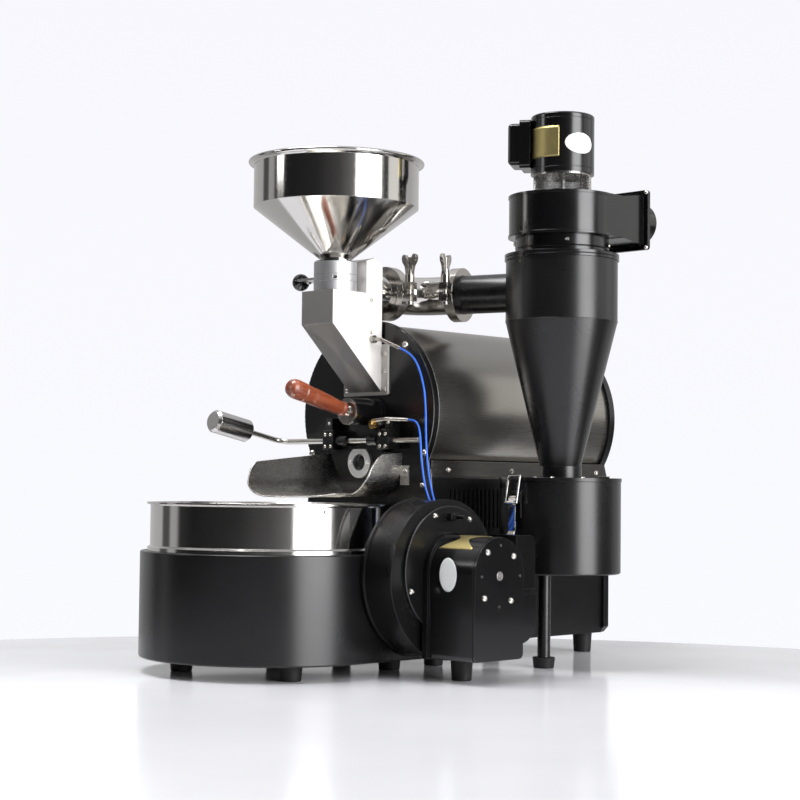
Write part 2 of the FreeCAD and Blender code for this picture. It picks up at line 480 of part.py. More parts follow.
BY1 = -12.0
tbz = u_shape(BASE_R, BY1, BASE_Z0, BASE_Z1)
tbz = fil(tbz, 2.0, lambda e: e.BoundBox.ZLength < 0.01 and (abs(e.BoundBox.ZMin - BASE_Z1) < 0.01 or abs(e.BoundBox.ZMin - BASE_Z0) < 0.01))
tbz = tbz.cut(u_shape(BASE_R - 2, BY1 - 2, BASE_Z0 + 2, BASE_Z1 - 2))
tbz = tbz.cut(cyl(0, TRAY_Y, BASE_Z1 - 5, TRAY_R - 2, 8)).cut(cyl(BASE_R - 5, FAN_Y, FAN_Z - 12, 40, 10, (1, 0, 0)))
out("tray_base", tbz)
pn = rev_z([(TRAY_R - 4, 142.0), (TRAY_R + 3.2, 142.0), (TRAY_R + 3.2, 146.4), (TRAY_R, 148.4), (TRAY_R, 195.4), (TRAY_R + 2.4, 196.6),
            (TRAY_RIM_R, 197.0), (TRAY_RIM_R, 199.0), (TRAY_R + 0.6, 199.0), (TRAY_R - 1.5, 197.0), (TRAY_R - 1.5, 148.0), (TRAY_R - 4, 146.0)], 0, TRAY_Y)
out("cooling_pan", pn)
pf = cyl(0, TRAY_Y, 148.6, TRAY_R - 1.8, 1.6)
holes = []
for r_, n_ in ((34, 14), (50, 22), (66, 30), (82, 38), (98, 46), (114, 54), (130, 60)):
    for k in range(n_):
        a = 2 * math.pi * k / n_
        holes.append(cyl(r_ * math.cos(a), TRAY_Y + r_ * math.sin(a), 148, 2.2, 3))
pf = pf.cut(Part.makeCompound(holes)).cut(cyl(0, TRAY_Y, 148, 12.5, 4))
pf = pf.fuse(tube(0, TRAY_Y, 146.4, TRAY_R - 4.2, TRAY_R - 9, 2.4)).removeSplitter()
out("perforated_floor", pf)
sm = box(-36, 36, TRAY_Y - 36, TRAY_Y + 36, 84, 112).fuse(cyl(0, TRAY_Y, 28, 34, 56)).fuse(cyl(0, TRAY_Y, 112, 16, 30))
sm = sm.fuse(box(-BASE_R, BASE_R, TRAY_Y - 14, TRAY_Y + 14, 80, 84).common(cyl(0, TRAY_Y, 70, BASE_R - 2, 30))).cut(cyl(0, TRAY_Y, 90, 8.05, 80))
out("stir_motor", sm.removeSplitter())
st = cyl(0, TRAY_Y, 92, 7.98, 68).fuse(cyl(0, TRAY_Y, 153, 15, 30)).fuse(Part.makeCone(15, 8, 7, V(0, TRAY_Y, 183), V(0, 0, 1)))
for k in range(3):
    arm = cyl(10, 0, 172, 4, 118, (1, 0, 0))
    for r_ in ((44, 78, 112) if k == 0 else (60, 96, 122) if k == 1 else (36, 68, 104)):
        pd = box(r_ - 9, r_ + 9, -0.9, 0.9, 152.5, 172)
        arm = arm.fuse(rot(pd, 35, (r_, 0, 0)))
    st = st.fuse(mov(rot(arm, 20 + 120 * k), 0, TRAY_Y, 0))
out("stirrer", st.removeSplitter())

# ---------------------------------------------------------------- cooling blower
pts = []
for i in range(0, 61):
    th = 90 + 180.0 * i / 60
    r_ = 79 + (th - 90) * 0.13
    pts.append((r_, th))
yz = [(FAN_Y + r_ * math.cos(math.radians(th)), FAN_Z + r_ * math.sin(math.radians(th))) for r_, th in pts]
zb = yz[-1][1]


def volute(off, x0, x1, yend):
    q = []
    for r_, th in pts:
        q.append(V(x0, FAN_Y + (r_ - off) * math.cos(math.radians(th)), FAN_Z + (r_ - off) * math.sin(math.radians(th))))
    es = []
    bs = Part.BSplineCurve(); bs.interpolate(q)
    es.append(bs.toShape())
    a, b_ = V(x0, yend, zb + off), V(x0, yend, 74 - off)
    es.append(Part.LineSegment(q[-1], a).toShape())
    es.append(Part.LineSegment(a, b_).toShape())
    rr = 79 - off
    th1 = -math.asin((FAN_Z - 74 + off) / rr)
    p1 = V(x0, FAN_Y + rr * math.cos(th1), 74 - off)
    es.append(Part.LineSegment(b_, p1).toShape())
    tm = (th1 + math.pi / 2) / 2
    es.append(Part.Arc(p1, V(x0, FAN_Y + rr * math.cos(tm), FAN_Z + rr * math.sin(tm)), q[0]).toShape())
    return Part.Face(Part.Wire(es)).extrude(V(x1 - x0, 0, 0))


vs = volute(0, FAN_X0, FAN_X1, 42)
lip1 = volute(-1.8, FAN_X1 - 3.4, FAN_X1, 30).cut(volute(0.5, FAN_X1 - 4, FAN_X1 + 1, 34))
lip2 = volute(-1.8, FAN_X0, FAN_X0 + 3.4, 30).cut(volute(0.5, FAN_X0 - 1, FAN_X0 + 4, 34))
vs = vs.fuse(lip1).fuse(lip2)
vs = vs.fuse(box(FAN_X0, FAN_X1 + 4, 42, 45, 19, 80))
vs = vs.cut(volute(1.6, FAN_X0 + 1.6, FAN_X1 - 1.6, 50)).cut(cyl(FAN_X0 - 2, FAN_Y, FAN_Z, 42, 6, (1, 0, 0))).cut(cyl(FAN_X1 - 4, FAN_Y, FAN_Z, 60, 8, (1, 0, 0)))
vs = vs.fuse(tube(BASE_R - 2, FAN_Y, FAN_Z - 6, 46, 39, FAN_X0 - BASE_R + 2, (1, 0, 0)).common(box(BASE_R, FAN_X0, -200, 100, 0, 300)))
out("cooling_scroll", vs.removeSplitter())
cv = cyl(FAN_X1, FAN_Y, FAN_Z, 74, 4, (1, 0, 0))
cv = fil(cv, 1.2, lambda e: abs(e.BoundBox.XMin - FAN_X1 - 4) < 0.01).cut(cyl(FAN_X1 - 1, FAN_Y, FAN_Z, 6, 8, (1, 0, 0)))
lug = box(FAN_X1 + 4, FAN_X1 + 12, FAN_Y - 7, FAN_Y + 7, 182, 190).fuse(cyl(FAN_X1 + 4, FAN_Y, 186, 5, 10, (1, 0, 0)))
out("scroll_cover", cv, lug.removeSplitter(), cyl(FAN_X1 + 14, FAN_Y, 186, 2.4, 12, (1, 0, 0)))
for a in (200, 320, 5, 60, 112):
    r = math.radians(a)
    fast.append(dome(FAN_X1 + 4, FAN_Y + 67 * math.cos(r), FAN_Z + 67 * math.sin(r), (1, 0, 0), 3.4, 2.4))
ci = cyl(FAN_X0 + 40, FAN_Y, FAN_Z, 62, 2, (1, 0, 0)).fuse(cyl(FAN_X0 + 22, FAN_Y, FAN_Z, 10, 18, (1, 0, 0))).fuse(cyl(FAN_X0 + 42, FAN_Y, FAN_Z, 3.98, 50, (1, 0, 0)))
for k in range(12):
    q = box(FAN_X0 + 8, FAN_X0 + 40, -0.9, 0.9, 34, 61)
    q = rot(q, 26, (0, 0, 48), (1, 0, 0))
    ci = ci.fuse(mov(rot(q, 30 * k, (0, 0, 0), (1, 0, 0)), 0, FAN_Y, FAN_Z))
out("cooling_impeller", ci.removeSplitter())
MX0, MX1 = FAN_X1 + 12, 280.0
MOT_W, MOT_Z0 = 42.0, 26.0


def arch(w, z0, x0, x1):
    c_ = cyl(x0, FAN_Y, FAN_Z - 2, w, x1 - x0, (1, 0, 0))
    return c_.fuse(box(x0, x1, FAN_Y - w, FAN_Y + w, z0, FAN_Z - 2)).removeSplitter()


mc = arch(MOT_W, MOT_Z0, MX0, MX1 - 3)
mc = fil(mc, 6, lambda e: abs(e.BoundBox.ZMax - MOT_Z0) < 0.01 and e.BoundBox.XLength > 40)
mring = arch(MOT_W + 3.5, MOT_Z0, FAN_X1 + 4, MX0)
mc = mc.fuse(mring).removeSplitter().cut(cyl(FAN_X1 + 2, FAN_Y, FAN_Z, 4.05, 60, (1, 0, 0)))
mc = mc.cut(box(FAN_X1 + 3, FAN_X1 + 13, FAN_Y - 8, FAN_Y + 8, 181, 192))
fpz = arch(MOT_W - 0.6, MOT_Z0 + 0.6, MX1 - 3, MX1)
fpz = fil(fpz, 6, lambda e: e.BoundBox.ZMax < MOT_Z0 + 1 and abs(e.BoundBox.XLength - 3) < 0.01)
out("motor_face_plate", fpz)
for y, z in ((FAN_Y - 20, 148), (FAN_Y + 24, 143), (FAN_Y - 25, 97), (FAN_Y + 20, 93)):
    fast.append(dome(MX1, y, z, (1, 0, 0), 3.6, 2.6))
bx1 = box(224, 268, FAN_Y + MOT_W, 12, 104, 166)
bx1 = fil(bx1, 10, lambda e: abs(e.BoundBox.XLength - 44) < 0.01 and e.BoundBox.ZMin > 165 and e.BoundBox.YMin > 11)
bx2 = box(224, 268, FAN_Y + MOT_W, 14, 42, 98)
bx2 = fil(bx2, 26, lambda e: abs(e.BoundBox.XLength - 44) < 0.01 and e.BoundBox.ZMax < 43 and e.BoundBox.YMin > 11)
bx3 = box(228, 264, FAN_Y + MOT_W, 9, 98, 104)
mcut = arch(MOT_W, MOT_Z0, MX0, MX1)
out("cooling_motor", mc, bx1.cut(mcut), bx2.cut(mcut), bx3.cut(mcut))

# ---------------------------------------------------------------- rubber feet (all of one size)
def foot(x, y, ztop, r=13.0):
    rz = [(0, 0), (r - 2.2, 0), (r - 1.4, 0.8), (r, ztop - 1), (r - 0.8, ztop), (0, ztop)]
    return rev_z(rz, x, y)


feet = [foot(x, y, BOX_Z0) for x in (-82, 82) for y in (40, 335)]
feet += [foot(x, y, BASE_Z0, 14) for x, y in ((-64, -240), (103, -218), (-108, -50), (84, -40))]
feet += [foot(222, -62, MOT_Z0), foot(POLE_X, POLE_Y, 13, 14)]
out("rubber_feet", *feet)

# ---------------------------------------------------------------- trier
sl = tube(TRIER_X, -45, TRIER_Z, 17.0, 9.6, 45, (0, 1, 0)).fuse(tube(TRIER_X, 0, TRIER_Z, 11.9, 9.6, 14, (0, 1, 0)))
sl = sl.fuse(tube(TRIER_X, -4, TRIER_Z, 21, 9.6, 4, (0, 1, 0)))
out("trier_sleeve", sl.removeSplitter())
sp = cyl(TRIER_X, -44.5, TRIER_Z, 9.5, 118, (0, 1, 0))
sp = sp.cut(box(TRIER_X - 12, TRIER_X + 12, 20, 66, TRIER_Z, TRIER_Z + 12)).cut(cyl(TRIER_X, 20, TRIER_Z, 7.8, 46, (0, 1, 0)))
sp = sp.fuse(cyl(TRIER_X, -48.6, TRIER_Z, 16.5, 3.2, (0, 1, 0)))
hd = V(0, -math.cos(math.radians(15)), math.sin(math.radians(15)))
b0 = V(TRIER_X, -47, TRIER_Z)
fer = Part.makeCylinder(6.0, 9, b0, hd).fuse(Part.makeSphere(6.0, b0))
fer = fer.cut(box(-20, 60, -45.4, 0, 280, 340))
out("trier_spoon", sp.fuse(fer).removeSplitter())
hpz = [(6.0, 9), (9.2, 9.0), (9.4, 12), (8.2, 14), (8.8, 20), (10.2, 40), (10.9, 60), (10.4, 66), (10.9, 68), (11.6, 78), (10.8, 80), (11.8, 82),
       (12.0, 90), (11.4, 95), (9.4, 99.5), (6.0, 102.4), (0, 103.4), (0, 9)]
hw = rev_z(hpz, 0, 0)
hw = rot(hw, 75, (0, 0, 0), (1, 0, 0))
out("trier_handle", mov(hw, b0.x, b0.y, b0.z))

# ---------------------------------------------------------------- discharge door, rod and weight
blk = []
for s_ in (1, -1):
    q = box(s_ * 49 - 9.5, s_ * 49 + 9.5, -21, 0, 266, 291)
    q = fil(q, 2, lambda e: abs(e.BoundBox.XLength - 19) < 0.01 and e.BoundBox.YMin < -20)
    q = q.fuse(box(min(s_ * 47, s_ * 58.5), max(s_ * 47, s_ * 58.5), -15, 0, 291, 306))
    q = q.cut(cyl(-80, DOOR_Y, DOOR_Z, 3.55, 160, (1, 0, 0))).removeSplitter()
    blk.append(q)
    fast.append(dome(s_ * 52.7, -15, 299, (0, -1, 0), 2.3, 1.6))
    fast.append(dome(s_ * 49 - 4.8, -21, 285, (0, -1, 0), 2.3, 1.6)); fast.append(dome(s_ * 49 + 4.8, -21, 285, (0, -1, 0), 2.3, 1.6))
    fast.append(dome(s_ * 49 + 4.8, -21, 270.0, (0, -1, 0), 2.3, 1.6)); fast.append(dome(s_ * 49 - 4.8, -21, 270.0, (0, -1, 0), 2.3, 1.6))
out("door_bearing_blocks", *blk)
dd = cyl(0, -8.6, DOOR_Z, 57, 8.0, (0, 1, 0)).common(box(-60, 60, -20, 5, 200, 262.5))
dd = dd.fuse(box(-36, 36, -8.6, -1.0, 255, DOOR_Z + 1))
dd = fil(dd, 1.0, lambda e: abs(e.BoundBox.YMin + 8.6) < 0.01 and abs(e.BoundBox.YMax + 8.6) < 0.01)
for s_ in (1, -1):
    dd = dd.fuse(cyl(s_ * 27 - 8, DOOR_Y, DOOR_Z, 7.0, 16, (1, 0, 0))).fuse(box(s_ * 27 - 8, s_ * 27 + 8, -13, -1.4, DOOR_Z - 7, DOOR_Z + 3))
dd = dd.cut(cyl(-80, DOOR_Y, DOOR_Z, 3.5, 160, (1, 0, 0))).cut(cyl(0, -10, 250, 13.2, 12, (0, 1, 0)))
out("discharge_door", dd.removeSplitter())
rg = tube(0, -13.2, 250, 19.6, 10.6, 4.6, (0, 1, 0)).cut(box(-20, 20, -14, -8, 266.5, 272))
fast_door = [dome(-15.2, -13.2, 250, (0, -1, 0), 2.2, 1.2), dome(15.2, -13.2, 250, (0, -1, 0), 2.2, 1.2)]
gls = cyl(0, -8.4, 250, 13.1, 3.0, (0, 1, 0))
out("sight_ring", rg, gls, *fast_door)
bx = -145.0
rb = 16.0
d2 = V(0, -math.cos(math.radians(11.5)), math.sin(math.radians(11.5)))
P1 = V(bx, DOOR_Y, DOOR_Z)
s1 = P1 - V(-1, 0, 0) * rb
s2 = P1 + d2 * rb
cn_ = P1 + V(1, 0, 0) * rb + d2 * rb
md = (P1 - cn_); md.normalize()
ed = [Part.LineSegment(V(104, DOOR_Y, DOOR_Z), s1).toShape(), Part.Arc(s1, cn_ + md * rb, s2).toShape(), Part.LineSegment(s2, P1 + d2 * 62).toShape()]
w = Part.Wire(ed)
rod = w.makePipeShell([Part.Wire([Part.Circle(V(104, DOOR_Y, DOOR_Z), V(-1, 0, 0), 3.5).toShape()])], True, False)
out("door_rod", rod)
wt = rev_z([(0, 60), (11.5, 60), (14.6, 63.5), (14.6, 116.5), (11.5, 120), (0, 120)], 0, 0).cut(cyl(0, 0, 59, 3.5, 3))
wt = rot(wt, 90 - 11.5, (0, 0, 0), (1, 0, 0))
out("counterweight", mov(wt, P1.x, P1.y, P1.z))

# ---------------------------------------------------------------- discharge chute (bent trough)
def trough(y, hw_, ztop, zb_, n=20):
    pts_ = []
    # flat-bottomed U section with straight lips
    for i in range(n + 1):
        a = math.pi + math.pi * i / n
        c_, s_ = math.cos(a), -math.sin(a)
        e = 2 / 2.9
        pts_.append(V(hw_ * math.copysign(abs(c_) ** e, c_), y, (ztop - 8) - (ztop - 8 - zb_) * max(s_, 0.0) ** e))
    return [V(-hw_, y, ztop)] + pts_ + [V(hw_, y, ztop)]


def trough_face(y, hw_, ztop, zb_):
    o = trough(y, hw_, ztop, zb_)
    i = trough(y, hw_ - 1.6, ztop, zb_ + 1.6)
    ob = Part.BSplineCurve(); ob.interpolate(o[1:-1])
    ib = Part.BSplineCurve(); ib.interpolate(i[1:-1])
    es = [Part.LineSegment(o[0], o[1]).toShape(), ob.toShape(), Part.LineSegment(o[-2], o[-1]).toShape(), Part.LineSegment(o[-1], i[-1]).toShape(),
          Part.LineSegment(i[-1], i[-2]).toShape(), ib.toShape(), Part.LineSegment(i[1], i[0]).toShape(), Part.LineSegment(i[0], o[0]).toShape()]
    return Part.Wire(es)


ch = Part.makeLoft([trough_face(0, 63, 262, 207), trough_face(-64, 60, 256, 206), trough_face(-172, 45, 246, 205.5)], True, False)
ch = ch.cut(prism_z([(90, -18), (66, -44), (52, -64), (20, -112), (2, -138), (-16, -153), (-34, -158), (-60, -158), (-60, -200), (90, -200)], 190, 300))
ch = ch.cut(prism_x([(-190, 190), (-190, 300), (-112, 300), (-134, 254), (-150, 240), (-158, 222), (-162, 190)], -100, -36))
ch = ch.cut(prism_x([(-200, 300), (-200, 190), (-60, 190), (-58, 222), (-52, 240), (-40, 255), (-24, 264), (-24, 300)], 36, 100))
tabs = []
for s_ in (1, -1):
    q = box(min(s_ * 62, s_ * 76), max(s_ * 62, s_ * 76), -2.0, 0, 222, 246)
    tabs.append(q)
    fast.append(dome(s_ * 70, -2, 239, (0, -1, 0), 3.2, 2.2))
out("discharge_chute", ch, tabs[0].cut(ch), tabs[1].cut(ch))

# ---------------------------------------------------------------- temperature probes and their wires
def rod_path(pts_, r):
    P = [V(*p) for p in pts_]
    s_ = None
    for i in range(len(P) - 1):
        c_ = Part.makeCylinder(r, (P[i + 1] - P[i]).Length, P[i], P[i + 1] - P[i])
        s_ = c_ if s_ is None else s_.fuse(c_)
        if i:
            s_ = s_.fuse(Part.makeSphere(r, P[i]))
    return s_.removeSplitter()


pr1 = cyl(CH, -20, 403, 5.0, 5, (1, 0, 0)).fuse(rod_path([(CH + 4, -20, 403), (44, -20, 402), (66, -9, 391)], 2.4))
pr2 = rod_path([(40, -29, 297), (42, -31, 301), (60, -27, 303), (86, -14, 302)], 2.4)
pr2 = pr2.fuse(cyl(40, 0, 297, 5.0, 26, (0, -1, 0))).fuse(cyl(40, -26, 297, 6.0, 5, (0, -1, 0))).fuse(box(71, 75, -21, 0, 300, 305))
out("temperature_probes", pr1.removeSplitter(), pr2.removeSplitter())
W_UP = [(66, -9, 391), (76, -5, 386), (89, -4, 375), (100, -6, 357), (109, -9, 335), (115, -13, 310), (118, -16, 285), (121, -17, 259),
        (124, -16, 233), (127, -12, 208), (130, -3, 185), (129, 9, 166), (123, 17, 154), (113, 20, 150)]
W_LO = [(86, -14, 302), (96, -14, 302), (106, -16, 295), (113, -20, 281), (117, -23, 262), (121, -24, 240), (124, -22, 218), (128, -15, 197),
        (132, -4, 178), (133, 10, 160), (129, 22, 145), (122, 28, 138), (113, 30, 136)]
out("probe_wire_upper", route_tube(W_UP, 1.2, "probe_wire_upper"))
out("probe_wire_lower", route_tube(W_LO, 1.2, "probe_wire_lower"))

# ---------------------------------------------------------------- other dome screws
for x, z in ((66, 396), (-60, 398), (100, 262), (-100, 262)):
    fast.append(dome(x, 0, z, (0, -1, 0), 4.6, 3.6))
for x, z in ((98, 222), (98, 120), (-98, 222), (-98, 120)):
    fast.append(dome(x, 0, z, (0, -1, 0), 3.6, 2.6))
for y in (40, 160, 270, 335):
    for s_ in (1, -1):
        fast.append(dome(s_ * 104.4, y, 241.5, (s_, 0, 0), 3.2, 2.4))
fast.append(dome(TRAY_R * math.cos(math.radians(-14)), TRAY_Y + TRAY_R * math.sin(math.radians(-14)), 190, (math.cos(math.radians(-14)), math.sin(math.radians(-14)), 0), 3.0, 2.2))
for x, z in ((-26, AX_Z + 26), (26, AX_Z + 26), (-26, AX_Z - 26), (26, AX_Z - 26)):
    fast.append(dome(x, BODY_L + 40, z, (0, 1, 0), 3.4, 2.4))
out("fasteners", *fast)

# ---------------------------------------------------------------- summary
bb = FreeCAD.BoundBox()
for n_, s_ in NODES.items():
    bb.add(s_.BoundBox)
    if not s_.isValid():
        print("INVALID", n_)
print("nodes", len(NODES), "box", [round(v, 1) for v in (bb.XMin, bb.XMax, bb.YMin, bb.YMax, bb.ZMin, bb.ZMax)])
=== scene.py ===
import bpy, bmesh, math
from mathutils import Vector, Matrix


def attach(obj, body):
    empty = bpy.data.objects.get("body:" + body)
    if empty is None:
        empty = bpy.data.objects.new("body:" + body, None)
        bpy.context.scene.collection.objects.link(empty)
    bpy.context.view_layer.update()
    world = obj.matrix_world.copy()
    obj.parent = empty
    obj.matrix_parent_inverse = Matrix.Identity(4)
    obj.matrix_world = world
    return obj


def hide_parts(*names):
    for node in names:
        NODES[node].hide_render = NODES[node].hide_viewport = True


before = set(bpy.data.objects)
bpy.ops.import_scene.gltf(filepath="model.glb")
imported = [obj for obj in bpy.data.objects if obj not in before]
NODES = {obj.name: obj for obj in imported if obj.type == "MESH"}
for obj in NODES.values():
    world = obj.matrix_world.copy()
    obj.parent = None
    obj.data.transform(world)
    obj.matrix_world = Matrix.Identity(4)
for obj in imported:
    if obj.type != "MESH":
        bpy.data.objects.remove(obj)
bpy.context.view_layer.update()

OX, OY = 0.0613, 0.0720            # shift between the drawing's axes and the row's frame, metres
col = bpy.context.scene.collection


def P(x, y, z):
    """Drawing millimetres to the row's frame in metres."""
    return Vector((x / 1000 - OX, y / 1000 - OY, z / 1000))


# ---------------------------------------------------------------- camera
a, p, r = 0.7728, 0.0482, 0.0112
right = Vector((math.cos(a), math.sin(a), 0))
fwd = Vector((-math.sin(a) * math.cos(p), math.cos(a) * math.cos(p), math.sin(p)))
up = right.cross(fwd)
R2 = right * math.cos(r) + up * math.sin(r)
U2 = -right * math.sin(r) + up * math.cos(r)
cd = bpy.data.cameras.new("camera")
cd.sensor_width = 36.0
cd.lens = 1780.0 / 800.0 * 36.0
cd.clip_start, cd.clip_end = 0.05, 50
cam = bpy.data.objects.new("camera", cd)
col.objects.link(cam)
m = Matrix.Identity(4)
for i in range(3):
    m[i][0], m[i][1], m[i][2] = R2[i], U2[i], -fwd[i]
m.translation = P(1598, -1579, 221)
cam.matrix_world = m
bpy.context.scene.camera = cam


# ---------------------------------------------------------------- material tools
class NT:
    def __init__(self, name):
        self.m = bpy.data.materials.new(name)
        self.m.use_nodes = True
        self.t = self.m.node_tree
        self.t.nodes.clear()
        self.out = self.t.nodes.new("ShaderNodeOutputMaterial")

    def n(self, kind, **kw):
        x = self.t.nodes.new(kind)
        for k, v in kw.items():
            setattr(x, k, v)
        return x

    def l(self, s, d):
        self.t.links.new(s, d)


def coords(T, scale=(1, 1, 1)):
    tc = T.n("ShaderNodeTexCoord")
    mp = T.n("ShaderNodeMapping")
    mp.inputs["Scale"].default_value = scale
    T.l(tc.outputs["Object"], mp.inputs["Vector"])
    return mp.outputs["Vector"]


def noise(T, vec, scale, detail=4.0, rough=0.55):
    n = T.n("ShaderNodeTexNoise")
    n.inputs["Scale"].default_value = scale
    n.inputs["Detail"].default_value = detail
    n.inputs["Roughness"].default_value = rough
    T.l(vec, n.inputs["Vector"])
    return n.outputs["Fac"]


def remap(T, fac, lo, hi, f0=0.3, f1=0.7):
    n = T.n("ShaderNodeMapRange")
    n.inputs["From Min"].default_value = f0
    n.inputs["From Max"].default_value = f1
    n.inputs["To Min"].default_value = lo
    n.inputs["To Max"].default_value = hi
    T.l(fac, n.inputs["Value"])
    return n.outputs["Result"]


def mixcol(T, fac, a_, b_):
    n = T.n("ShaderNodeMix", data_type="RGBA")
    for s, v in ((6, a_), (7, b_)):
        if isinstance(v, (tuple, list)):
            n.inputs[s].default_value = (*v[:3], 1)
        else:
            T.l(v, n.inputs[s])
    T.l(fac, n.inputs[0])
    return n.outputs[2]


def bsdf(T, base, metal, rough, spec=0.5, coat=0.0, coat_rough=0.1, sheen=0.0):
    b = T.n("ShaderNodeBsdfPrincipled")
    b.inputs["Metallic"].default_value = metal
    b.inputs["Specular IOR Level"].default_value = spec
    b.inputs["Coat Weight"].default_value = coat
    b.inputs["Coat Roughness"].default_value = coat_rough
    for k, v in (("Base Color", base), ("Roughness", rough)):
        if isinstance(v, tuple):
            b.inputs[k].default_value = (*v[:3], 1)
        elif isinstance(v, float):
            b.inputs[k].default_value = v
        else:
            T.l(v, b.inputs[k])
    return b


def bump(T, b, height, strength, dist, edge=0.0):
    bm_ = T.n("ShaderNodeBump")
    bm_.inputs["Strength"].default_value = strength
    bm_.inputs["Distance"].default_value = dist
    T.l(height, bm_.inputs["Height"])
    if edge:
        bv = T.n("ShaderNodeBevel", samples=4)
        bv.inputs["Radius"].default_value = edge
        T.l(bv.outputs["Normal"], bm_.inputs["Normal"])
    T.l(bm_.outputs["Normal"], b.inputs["Normal"])


def metal_core(T, base, rough, rvar, brush=None, bs=0.15, edge=0.0006, bscale=2400.0, aniso=0.0, underside_shade=0.0, ripple=0.0):
    v = coords(T, brush or (1, 1, 1))
    fine = noise(T, v, bscale if brush else 220.0, 2.0, 0.5)
    soft = noise(T, coords(T), 9.0, 3.0, 0.5)
    dark = tuple(c * 0.93 for c in base)
    colr = mixcol(T, remap(T, soft, 0.0, 1.0), dark, base)
    if brush:
        colr = mixcol(T, remap(T, fine, 0.0, 0.5), colr, tuple(min(1.0, c * 1.10) for c in base))
    add = T.n("ShaderNodeMath", operation="ADD")
    T.l(remap(T, fine, rough - rvar, rough + rvar), add.inputs[0])
    T.l(remap(T, soft, -rvar * 0.25, rvar * 0.25), add.inputs[1])
    # painted shade: faces turned downwards get a darker copy of the base colour, scaled by this factor
    if underside_shade:
        ge = T.n("ShaderNodeNewGeometry")
        sx = T.n("ShaderNodeSeparateXYZ")
        T.l(ge.outputs["Normal"], sx.inputs[0])
        underside_shade_mask = remap(T, sx.outputs[2], 1.0, 0.0, -0.45, -0.15)
        colr = mixcol(T, underside_shade_mask, colr, tuple(c * underside_shade for c in base))
    b = bsdf(T, colr, 1.0, add.outputs[0])
    if aniso:
        tg = T.n("ShaderNodeTangent", direction_type="RADIAL", axis="Z")
        T.l(tg.outputs[0], b.inputs["Tangent"])
        b.inputs["Anisotropic"].default_value = aniso
    if ripple:
        bump(T, b, noise(T, coords(T, (1, 0.5, 1)), 48.0, 1.0, 0.4), ripple, 0.0012, edge)
    else:
        bump(T, b, fine, bs, 0.00002, edge)
    return b


def metal(name, base, rough, rvar=0.03, brush=None, bs=0.1, edge=0.0006, bscale=2400.0, aniso=0.0, underside_shade=0.0, ripple=0.0):
    T = NT(name)
    b = metal_core(T, base, rough, rvar, brush, bs, edge, bscale, aniso, underside_shade, ripple)
    T.l(b.outputs[0], T.out.inputs[0])
    return T.m


def paint_core(T, base, rough, rvar=0.05, grain=1500.0, bs=0.12, coat=0.0, edge=0.0007, spec=0.5, wear=0.5, coat_rough=0.1):
    v = coords(T)
    fine = noise(T, v, grain, 2.0, 0.6)
    soft = noise(T, v, 14.0, 4.0, 0.6)
    lift = tuple(min(1.0, c * 1.6 + 0.0008) for c in base)
    colr = mixcol(T, remap(T, soft, 0.0, wear), base, lift)
    b = bsdf(T, colr, 0.0, remap(T, soft, rough - rvar, rough + rvar), spec, coat, coat_rough)
    bump(T, b, fine, bs, 0.00003, edge)
    return b


def paint(name, base, rough, **kw):
    T = NT(name)
    b = paint_core(T, base, rough, **kw)
    T.l(b.outputs[0], T.out.inputs[0])
    return T.m


def by_place(name, core_in, core_out, centre, half):
    """One node, two finishes: core_in inside a box round centre, core_out elsewhere."""
    T = NT(name)
    a_ = core_in(T)
    b_ = core_out(T)
    tc = T.n("ShaderNodeTexCoord")
    sep = T.n("ShaderNodeSeparateXYZ")
    T.l(tc.outputs["Object"], sep.inputs[0])
    acc = None
    for i in range(3):
        s = T.n("ShaderNodeMath", operation="SUBTRACT")
        T.l(sep.outputs[i], s.inputs[0]); s.inputs[1].default_value = centre[i]
        ab = T.n("ShaderNodeMath", operation="ABSOLUTE")
        T.l(s.outputs[0], ab.inputs[0])
        lt = T.n("ShaderNodeMath", operation="LESS_THAN")
        T.l(ab.outputs[0], lt.inputs[0]); lt.inputs[1].default_value = half[i]
        if acc is None:
            acc = lt.outputs[0]
        else:
            mu = T.n("ShaderNodeMath", operation="MULTIPLY")
            T.l(acc, mu.inputs[0]); T.l(lt.outputs[0], mu.inputs[1])
            acc = mu.outputs[0]
    mx = T.n("ShaderNodeMixShader")
    T.l(acc, mx.inputs[0]); T.l(b_.outputs[0], mx.inputs[1]); T.l(a_.outputs[0], mx.inputs[2])
    T.l(mx.outputs[0], T.out.inputs[0])
    return T.m


STEEL = (0.63, 0.61, 0.58)
M = {}
M["polished"] = metal("polished_steel", (0.60, 0.585, 0.56), 0.10, 0.02, bs=0.02)
M["polished_v"] = metal("polished_steel_drawn", (0.62, 0.605, 0.58), 0.10, 0.02, brush=(1, 1, 0.03), bs=0.02)
M["weight"] = metal("turned_steel", (0.56, 0.545, 0.53), 0.20, 0.03, brush=(1, 0.05, 1), bs=0.05)
M["cast"] = metal("cast_stainless", (0.56, 0.53, 0.49), 0.19, 0.04, bs=0.16)
# vertical brushed steel, with painted shade darkening its downward-facing faces
M["brushed_z"] = metal("brushed_steel_vertical", (0.60, 0.58, 0.555), 0.44, 0.03, brush=(1, 1, 0.02), bs=0.05, aniso=0.82, underside_shade=0.30)
M["brushed_y"] = metal("brushed_steel_long", (0.58, 0.56, 0.52), 0.24, 0.03, brush=(1, 0.02, 1), bs=0.06)
M["trough"] = metal("rolled_steel", (0.72, 0.70, 0.66), 0.27, 0.02, brush=(1, 0.05, 1), bs=0.015, ripple=0.30)
M["alu"] = metal("machined_aluminium", (0.60, 0.60, 0.61), 0.40, 0.03, brush=(1, 1, 0.03), bs=0.06, aniso=0.7)
M["alu_plain"] = metal("plain_aluminium", (0.80, 0.80, 0.80), 0.34, 0.05, bs=0.1)
M["dark_steel"] = metal("dull_steel", (0.30, 0.29, 0.28), 0.42, 0.08, bs=0.2)
M["screw"] = metal("bright_screw", (0.80, 0.76, 0.70), 0.20, 0.04, bs=0.05, edge=0.0003)
M["satin"] = paint("satin_black", (0.0026, 0.0026, 0.0028), 0.27, rvar=0.02, spec=0.50)
